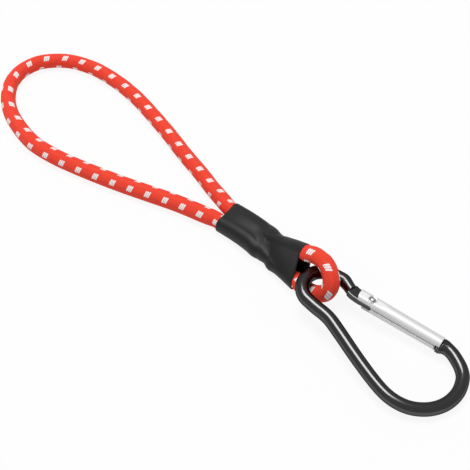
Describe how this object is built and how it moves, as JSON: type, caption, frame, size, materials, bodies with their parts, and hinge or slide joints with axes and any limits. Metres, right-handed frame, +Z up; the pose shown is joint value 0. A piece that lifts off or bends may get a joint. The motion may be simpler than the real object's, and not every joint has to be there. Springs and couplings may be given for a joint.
{
  "type": "bungee cord loop",
  "caption": "Loop of braided elastic cord closed by a heat-shrink sleeve, with a pear-shaped spring-gate carabiner held in a small eye of the same cord, for tying or hanging light gear.",
  "frame": {"origin": "under the middle of the part's box, on the surface that it lies on", "axes": "+X along the tie from the cord loop to the carabiner, +Z up from the surface"},
  "size_m": [0.2002, 0.0465, 0.0157],
  "materials": {
    "braided_cover": "red polyester braid with white flecks",
    "rubber_core": "natural latex",
    "shrink_sleeve": "black heat-shrink tube, satin",
    "crimp": "plain pressed band",
    "anodised_rod": "black anodised, glossy",
    "gate_tube": "satin silver",
    "rivet": "plain",
    "steel_pin": "turned",
    "spring_wire": "drawn wire"
  },
  "bodies": {
    "sleeve": {"heat_shrink_sleeve": "shrink_sleeve", "crimp_band": "crimp", "rear_leg_cover": "braided_cover", "rear_leg_core": "rubber_core", "front_tail_cover": "braided_cover", "front_tail_core": "rubber_core", "eye_tail_cover": "braided_cover", "eye_tail_core": "rubber_core", "eye_cover": "braided_cover", "eye_strand_1": "rubber_core", "eye_strand_2": "rubber_core", "eye_strand_3": "rubber_core", "eye_strand_4": "rubber_core", "eye_strand_5": "rubber_core", "eye_strand_6": "rubber_core", "eye_strand_7": "rubber_core"},
    "loop": {"loop_cover": "braided_cover", "loop_strand_1": "rubber_core", "loop_strand_2": "rubber_core", "loop_strand_3": "rubber_core", "loop_strand_4": "rubber_core", "loop_strand_5": "rubber_core", "loop_strand_6": "rubber_core", "loop_strand_7": "rubber_core"},
    "carabiner": {"carabiner_body": "anodised_rod"},
    "gate": {"gate": "gate_tube", "hinge_rivet": "rivet", "gate_spring": "spring_wire"},
    "plunger": {"plunger": "steel_pin"}
  },
  "joints": [
    {"name": "cord_stretch", "type": "slide", "parent": "sleeve", "child": "loop", "axis": [-1, 0, 0], "range_m": [0, 0.08], "stiffness_N_per_m": 1200, "deforming": ["loop_cover", "loop_strand_1", "loop_strand_2", "loop_strand_3", "loop_strand_4", "loop_strand_5", "loop_strand_6", "loop_strand_7"]},
    {"name": "carabiner_swing", "type": "hinge", "parent": "sleeve", "child": "carabiner", "pos_m": [0.05086, -0.0041, 0.00731], "axis": [0.1102, 0, 0.9939], "range_deg": [-40, 40]},
    {"name": "gate_hinge", "type": "hinge", "parent": "carabiner", "child": "gate", "pos_m": [0.06378, 0.002, 0.00587], "axis": [-0.1102, 0, -0.9939], "range_deg": [0, 36], "stiffness_Nm_per_rad": 0.04, "springref_deg": -45.84},
    {"name": "plunger_slide", "type": "slide", "parent": "gate", "child": "plunger", "axis": [0.9787, 0.1745, -0.1085], "range_m": [0, 0.00121], "deforming": ["gate_spring"]}
  ],
  "couplings": [
    {"joint": "plunger_slide", "follows": "gate_hinge", "m_per_rad": 0.0019099}
  ]
}
